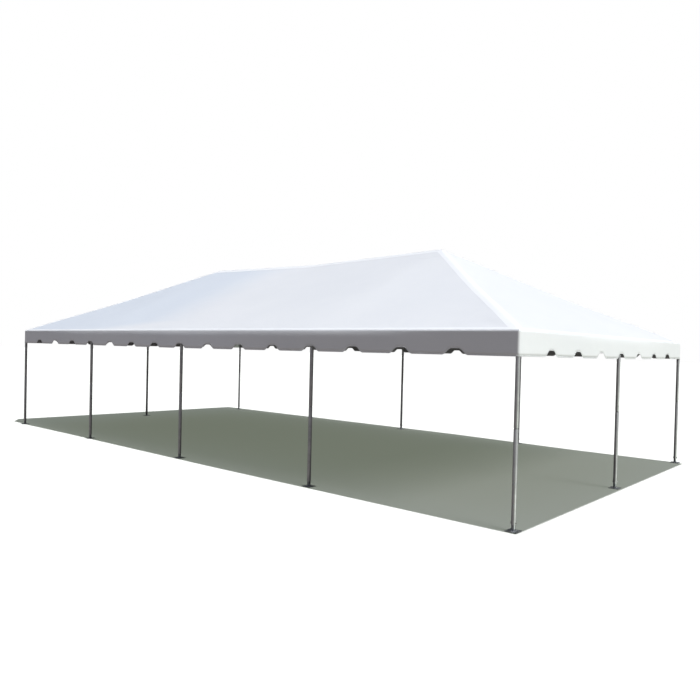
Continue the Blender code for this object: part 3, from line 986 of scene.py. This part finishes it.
def canopy_rows():
    """Rows of points of the sheet's inner face from the hem to the ridge,
    each with its distance along the cloth from the eave."""
    columns = perimeter()
    tilts = [eave_roll(point) for point, *_ in columns]
    rows = []
    for step in range(VALANCE_STEPS):
        share = valance_share(step)
        row, runs = [], []
        for (point, out, _, drop, leg), tilt in zip(columns, tilts):
            hem = HEM_Z - drop
            top = EAVE_Z + SHEET_OFFSET * math.sin(tilt)
            z = hem + (top - hem) * share
            depth = max(0.0, (EAVE_Z - z) / (EAVE_Z - HEM_Z))
            left = max(0.0, 1 - (top - z) / EAVE_ROLL_DROP)
            rolled = tilt * EAVE_ROLL_DROP / 3 * (1 - left ** 3)
            push = valance_push(point, leg, depth) + rolled
            row.append(point + out * (SHEET_OFFSET * math.cos(tilt) + push) + WORLD_UP * z)
            runs.append(z - EAVE_Z)
        rows.append((row, runs))
    for step in range(ARC_STEPS):
        row = []
        for (point, out, *_), tilt in zip(columns, tilts):
            angle = tilt + (SLOPE_NORMAL - tilt) * step / ARC_STEPS
            out_by, up_by = SHEET_OFFSET * math.cos(angle), EAVE_Z + SHEET_OFFSET * math.sin(angle)
            row.append(point + out * out_by + WORLD_UP * up_by)
        rows.append((row, [SHEET_OFFSET * SLOPE_NORMAL * step / ARC_STEPS] * len(row)))
    for step in range(ROOF_STEPS + 1):
        share = roof_share(step)
        row = []
        for point, out, top, *_ in columns:
            spot = (point + out * TANGENT_OUT).lerp(top, share)
            spot.z = roof_height(spot.x, spot.y)
            row.append(spot)
        run = SHEET_OFFSET * SLOPE_NORMAL + HALF_WIDTH * share / math.cos(SLOPE)
        rows.append((row, [run] * len(row)))
    return rows


def valance_share(step):
    """Rows crowd together towards the eave."""
    return 1 - (1 - step / VALANCE_STEPS) ** 1.5


def roof_share(step):
    """Rows crowd together near the eave and near the ridge."""
    even = step / ROOF_STEPS
    return even + 0.13 * math.sin(math.tau * (even - 0.5)) if step < ROOF_STEPS else 1.0


def cloth(name, bm, material, inside, thickness):
    """Gives a sheet its thickness outwards and its materials."""
    item = object_from(bm, name)
    item.data.materials.append(material)
    item.data.materials.append(inside)
    modify(item, "SOLIDIFY", thickness=thickness, offset=1.0, use_even_offset=True, material_offset=1)
    graph = bpy.context.evaluated_depsgraph_get()
    item.data = bpy.data.meshes.new_from_object(item.evaluated_get(graph))
    item.modifiers.clear()
    item.data.shade_smooth()
    return dress(item, "canopy")


def build_canopy():
    rows = canopy_rows()
    outward = [out for _, out, *_ in perimeter()]
    count = len(outward)
    bm = bmesh.new()
    layer = bm.loops.layers.uv.new("run")
    grid = [[bm.verts.new(point) for point in row] for row, _ in rows]
    for level in range(len(rows) - 1):
        for number in range(count):
            following = (number + 1) % count
            spots = ((level, number), (level, following), (level + 1, following), (level + 1, number))
            face = bm.faces.new([grid[low][column] for low, column in spots])
            on_long_side = abs(outward[number].y) + abs(outward[following].y) > 1.0
            for loop, (low, column) in zip(face.loops, spots):
                along = loop.vert.co.x if on_long_side else loop.vert.co.y
                loop[layer].uv = (along, rows[low][1][column])
    bmesh.ops.remove_doubles(bm, verts=grid[-1], dist=0.0002)
    bmesh.ops.recalc_face_normals(bm, faces=bm.faces[:])
    return cloth("canopy_sheet", bm, VINYL_OUTSIDE, VINYL_INSIDE_PAINTED_SHADE, SHEET_THICKNESS), rows[0][0]


def within_corner(x, y):
    """Draws a plan point in to the roof's rounded corner."""
    past = Vector((abs(x) - HALF_LENGTH, abs(y) - HALF_WIDTH))
    if min(past) > 0 and past.length > TANGENT_OUT:
        past *= TANGENT_OUT / past.length
        x = math.copysign(HALF_LENGTH + past.x, x)
        y = math.copysign(HALF_WIDTH + past.y, y)
    return x, y


def strip(name, lines, thickness, lift, material=VINYL_BAND_PAINTED_HIGHLIGHT):
    """A strip welded on the roof, from lines of plan points side by side."""
    bm = bmesh.new()
    layer = bm.loops.layers.uv.new("run")
    grid = []
    for line in lines:
        grid.append([])
        for x, y in line:
            x, y = within_corner(x, y)
            point = Vector((x, y, roof_height(x, y))) + roof_normal(x, y) * lift
            grid[-1].append(bm.verts.new(point))
    for first, second in zip(grid, grid[1:]):
        for number in range(len(first) - 1):
            quad = [first[number], first[number + 1], second[number + 1], second[number]]
            for loop in bm.faces.new(quad).loops:
                loop[layer].uv = loop.vert.co.xy
    bmesh.ops.remove_doubles(bm, verts=bm.verts[:], dist=0.0004)
    bmesh.ops.recalc_face_normals(bm, faces=bm.faces[:])
    if sum(face.normal.z for face in bm.faces) < 0:
        bmesh.ops.reverse_faces(bm, faces=bm.faces[:])
    item = cloth(name, bm, material, material, thickness)
    item.data.set_sharp_from_angle(angle=math.radians(60))
    return item


BAND_OFFSETS = (-1.0, -0.97, -0.6, -0.25, -0.14, -0.07, 0.0, 0.07, 0.14, 0.25, 0.6, 0.97, 1.0)
EAVE_SHARES = (0.0, 0.03, 0.5, 0.97, 1.0)
PATCH_SHARES = (0.0, 0.02, 0.05, 0.1, 0.2, 0.35, 0.5, 0.65, 0.8, 0.92, 0.985, 1.0)
EAVE_BAND_THICKNESS = 0.0009
PATCH_THICKNESS = 0.0007
OVER_SHEET = SHEET_THICKNESS - 0.0001
LAP = 0.0002


def hip_band(name, sign_x, sign_y):
    """A strip along a hip, from the eave to the crown's middle."""
    lines = []
    for offset in BAND_OFFSETS:
        off = offset * BAND_HALF / math.sqrt(2)
        run = HALF_WIDTH + TANGENT_OUT - abs(off)
        spots = [run * (1 - step / 40) for step in range(41)]
        lines.append([(sign_x * (RIDGE_HALF + spot + off), sign_y * (spot - off)) for spot in spots])
    return strip(name, lines, BAND_THICKNESS, OVER_SHEET)


def eave_band(name, half_run, half_depth, turned_round, sign):
    """A strip along one eave, mitred at both ends."""
    lines = []
    for share in EAVE_SHARES:
        inset = EAVE_BAND * share
        along, across = half_run + TANGENT_OUT - inset, half_depth + TANGENT_OUT - inset
        spots = [(along * (step / 60 - 1), sign * across) for step in range(121)]
        lines.append([(y, x) for x, y in spots] if turned_round else spots)
    return strip(name, lines, EAVE_BAND_THICKNESS, OVER_SHEET - LAP)


def crown_patch(name, middle):
    rings = []
    for share in PATCH_SHARES:
        reach = PATCH_RADIUS * share
        turns = [math.tau * step / 96 for step in range(97)]
        rings.append([(middle + reach * math.cos(turn), reach * math.sin(turn)) for turn in turns])
    return strip(name, rings, PATCH_THICKNESS, OVER_SHEET, VINYL_OUTSIDE)


def build_bands():
    """Reinforcing strips on the ridge, hips and eaves, their whiter colour partly a painted highlight, and
    crown patches.
    """
    bands = []
    for side, sign in ALL_SIDES:
        bands.append(eave_band(f"canopy_eave_band_{side}", HALF_LENGTH, HALF_WIDTH, False, sign))
    for end, sign in ALL_ENDS:
        bands.append(eave_band(f"canopy_eave_band_{end}", HALF_WIDTH, HALF_LENGTH, True, sign))
        bands += [hip_band(f"canopy_hip_band_{side}_{end}", sign, sign_y) for side, sign_y in ALL_SIDES]
        bands.append(crown_patch(f"canopy_crown_patch_{end}", sign * RIDGE_HALF))
    spots = [RIDGE_HALF * (step / 30 - 1) for step in range(61)]
    lines = [[(spot, offset * RIDGE_BAND_HALF) for spot in spots] for offset in BAND_OFFSETS]
    bands.append(strip("canopy_ridge_band", lines, BAND_THICKNESS, OVER_SHEET + LAP))
    return bands


def build_hem(hem_points):
    """The binding folded over the scalloped edge, as one closed bead."""
    turns = [math.tau * step / 12 for step in range(12)]
    section = [(HEM_HALF_THICK * math.cos(turn), HEM_TALL / 2 * math.sin(turn)) for turn in turns]
    count, size = len(hem_points), len(section)
    corners, faces = [], []
    for number, point in enumerate(hem_points):
        before, after = hem_points[number - 1], hem_points[(number + 1) % count]
        along = (after - before).normalized()
        out = along.cross(WORLD_UP).normalized()
        up = out.cross(along).normalized()
        middle = point + out * SHEET_THICKNESS / 2 + up * (HEM_TALL / 2 - 0.001)
        corners += [middle + out * u + up * v for u, v in section]
        start, following = number * size, ((number + 1) % count) * size
        for step in range(size):
            nearby = (step + 1) % size
            faces.append([start + step, start + nearby, following + nearby, following + step])
    piece = Piece("canopy_hem_binding")
    piece.add((corners, faces, None), VINYL_HEM)
    return piece.finish("vinyl", "canopy", sharp=math.radians(70))


def declare_sheet():
    rests = [f"eave_rail_{name}" for name in ("front", "back", "left", "right")]
    rests += [f"hip_rafter_{side}_{end}" for side, _ in ALL_SIDES for end, _ in ALL_ENDS]
    rests += [f"ridge_tube_{end}" for end, _ in ALL_ENDS]


# Stage, light and camera

FLOOR_SIZE = 400.0
FLOOR_DIFFUSE = (0.20, 0.20, 0.20)
FLOOR_GLOW = (0.152, 0.173, 0.133)
FLOOR_BOUNCE = (0.047, 0.044, 0.042)
HORIZON = (0.104, 0.100, 0.098)
LOW_SKY = (0.245, 0.245, 0.265)
ZENITH = (0.510, 0.550, 0.710)
FLAG_Z = 1.80
FLAG_FRONT = ((-6.70, -3.045), (0.9, -3.145), (6.175, -3.145))
FLAG_BACK = ((6.235, 3.03), (4.7, 3.05), (1.3, 3.26), (-6.81, 3.22), (-7.15, -2.78))
RAYS_PAST_FLAG = ("camera", "diffuse", "glossy", "transmission", "volume_scatter")

# Each light's direction, strength, softness in degrees and colour
KEY = ((0.57, 0.035, 0.84), 1.008, 4.0, (0.985, 1.014, 1.01))
LOW_FILL = ((0.90, 0.10, -0.42), 0.36, 12.0, (0.97, 1.06, 0.92))
FLOOR_LIGHT = ((0.0, 0.0, 1.0), 4.6, 1.4, (1.0, 1.0, 1.0))
FLOOR_SPILL = ((0.78, 0.02, 0.60), 0.75, 27.0, (1.0, 1.01, 0.99))


def floor_material():
    """Pale ground with a little glow, so that the tent's shadow stays soft."""
    material = bpy.data.materials.new("pale_floor")
    nodes = Nodes(material)
    pale = nodes.add("BsdfDiffuse", {"Color": FLOOR_DIFFUSE}).outputs[0]
    glow = nodes.add("Emission", {"Color": FLOOR_GLOW}).outputs[0]
    seen = nodes.add("AddShader", {0: pale, 1: glow})
    dull = nodes.add("BsdfDiffuse", {"Color": FLOOR_BOUNCE})
    nodes.output("OutputMaterial", seen, dull)
    return material


def build_world():
    """A white backdrop to the camera, and a dim soft sky to the tent."""
    world = bpy.data.worlds.new("studio")
    bpy.context.scene.world = world
    nodes = Nodes(world)
    place = nodes.add("TexCoord").outputs["Generated"]
    ramp = nodes.add("ValToRGB", {"Fac": nodes.split(place)["Z"]})
    steps = ramp.color_ramp.elements
    steps[0].color = (*HORIZON, 1.0)
    steps[1].color = (*ZENITH, 1.0)
    steps.new(0.5).color = (*LOW_SKY, 1.0)
    sky = nodes.add("Background", {"Color": ramp.outputs["Color"]})
    white = nodes.add("Background", {"Color": (1.0, 1.0, 1.0)})
    nodes.output("OutputWorld", white, sky)


def ground(name, half_x, half_y, z, material):
    bm = bmesh.new()
    bmesh.ops.create_grid(bm, x_segments=1, y_segments=1, size=1.0)
    bmesh.ops.scale(bm, vec=(half_x, half_y, 1.0), verts=bm.verts[:])
    item = object_from(bm, name)
    item.location.z = z
    item.data.materials.append(material)
    return item


def build_floor():
    """The floor, and under it the part in the tent's shade, which only keeps
    the low light out of the tent as ground that isn't lit would."""
    material = floor_material()
    floor = ground("floor", FLOOR_SIZE / 2, FLOOR_SIZE / 2, -0.0004, material)
    return floor, ground("shaded_ground", HALF_LENGTH, HALF_WIDTH, -0.02, material)


def build_flag():
    """A card round the hem that only casts shade. It widens the tent's shade
    on the floor to the one in the photograph."""
    corners = [(x, y, FLAG_Z) for x, y in FLAG_FRONT + FLAG_BACK]
    for turn_x, turn_y in ((-1, -1), (1, -1), (1, 1), (-1, 1)):
        corners.append((turn_x * HALF_LENGTH, turn_y * HALF_WIDTH, FLAG_Z))
    faces = [(0, 1, 2, 9, 8), (2, 3, 10, 9), (3, 4, 5, 6, 11, 10), (6, 7, 0, 8, 11)]
    mesh = bpy.data.meshes.new("flag")
    mesh.from_pydata(corners, [], faces)
    item = add_object("flag", mesh)
    for rays in RAYS_PAST_FLAG:
        setattr(item, f"visible_{rays}", False)


def add_sun(name, settings, receivers, blockers=None):
    towards, strength, softness, colour = settings
    light = bpy.data.lights.new(name, "SUN")
    light.energy = strength * math.pi
    light.angle = math.radians(softness)
    light.color = colour
    item = add_object(name, light)
    item.matrix_world = frame_along((0, 0, 8), towards)
    item.light_linking.receiver_collection = receivers
    if blockers is not None:
        item.light_linking.blocker_collection = blockers


def middle_x(item):
    """The middle of a piece's extent along the tent."""
    places = [vert.co.x for vert in item.data.vertices]
    return (min(places) + max(places)) / 2


def build_lights(floor, shaded_ground):
    on_floor = bpy.data.collections.new("lit_floor")
    on_floor.objects.link(floor)
    on_tent = bpy.data.collections.new("lit_tent")
    by_right_end = bpy.data.collections.new("lit_right_end")
    in_the_way = bpy.data.collections.new("blocks_low_fill")
    in_the_way.children.link(on_tent)
    in_the_way.objects.link(shaded_ground)
    for item in bpy.context.scene.objects:
        if item.type == "MESH" and item not in (floor, shaded_ground):
            on_tent.objects.link(item)
            if item.name.startswith("canopy") or middle_x(item) > RIDGE_HALF + BAY / 2:
                by_right_end.objects.link(item)
    add_sun("key", KEY, on_tent, on_tent)
    add_sun("low_fill", LOW_FILL, by_right_end, in_the_way)
    add_sun("floor_light", FLOOR_LIGHT, on_floor)
    add_sun("floor_spill", FLOOR_SPILL, on_floor)


def build_camera():
    yaw, pitch, roll = CAMERA_YAW, CAMERA_PITCH, CAMERA_ROLL
    forward = Vector((-math.sin(yaw) * math.cos(pitch), math.cos(yaw) * math.cos(pitch), math.sin(pitch)))
    level = Vector((math.cos(yaw), math.sin(yaw), 0))
    above = level.cross(forward)
    right = math.cos(roll) * level + math.sin(roll) * above
    up = -math.sin(roll) * level + math.cos(roll) * above
    camera = bpy.data.cameras.new("camera")
    camera.sensor_width = SENSOR_MM
    camera.lens = FOCAL_PX / IMAGE_PX * SENSOR_MM
    camera.shift_x = (IMAGE_PX / 2 - MIDDLE_X_PX) / IMAGE_PX
    camera.shift_y = (MIDDLE_Y_PX - IMAGE_PX / 2) / IMAGE_PX
    camera.clip_end = 500.0
    item = add_object("camera", camera)
    turn = Matrix((right, up, -forward)).transposed().to_4x4()
    item.matrix_world = Matrix.Translation(CAMERA_PLACE) @ turn
    bpy.context.scene.camera = item


build_camera()
build_frame()
canopy, hem_points = build_canopy()
extras = build_bands()
extras.append(build_hem(hem_points))
declare_sheet()
build_world()
build_lights(*build_floor())
build_flag()
bpy.context.scene.view_settings.view_transform = "Standard"
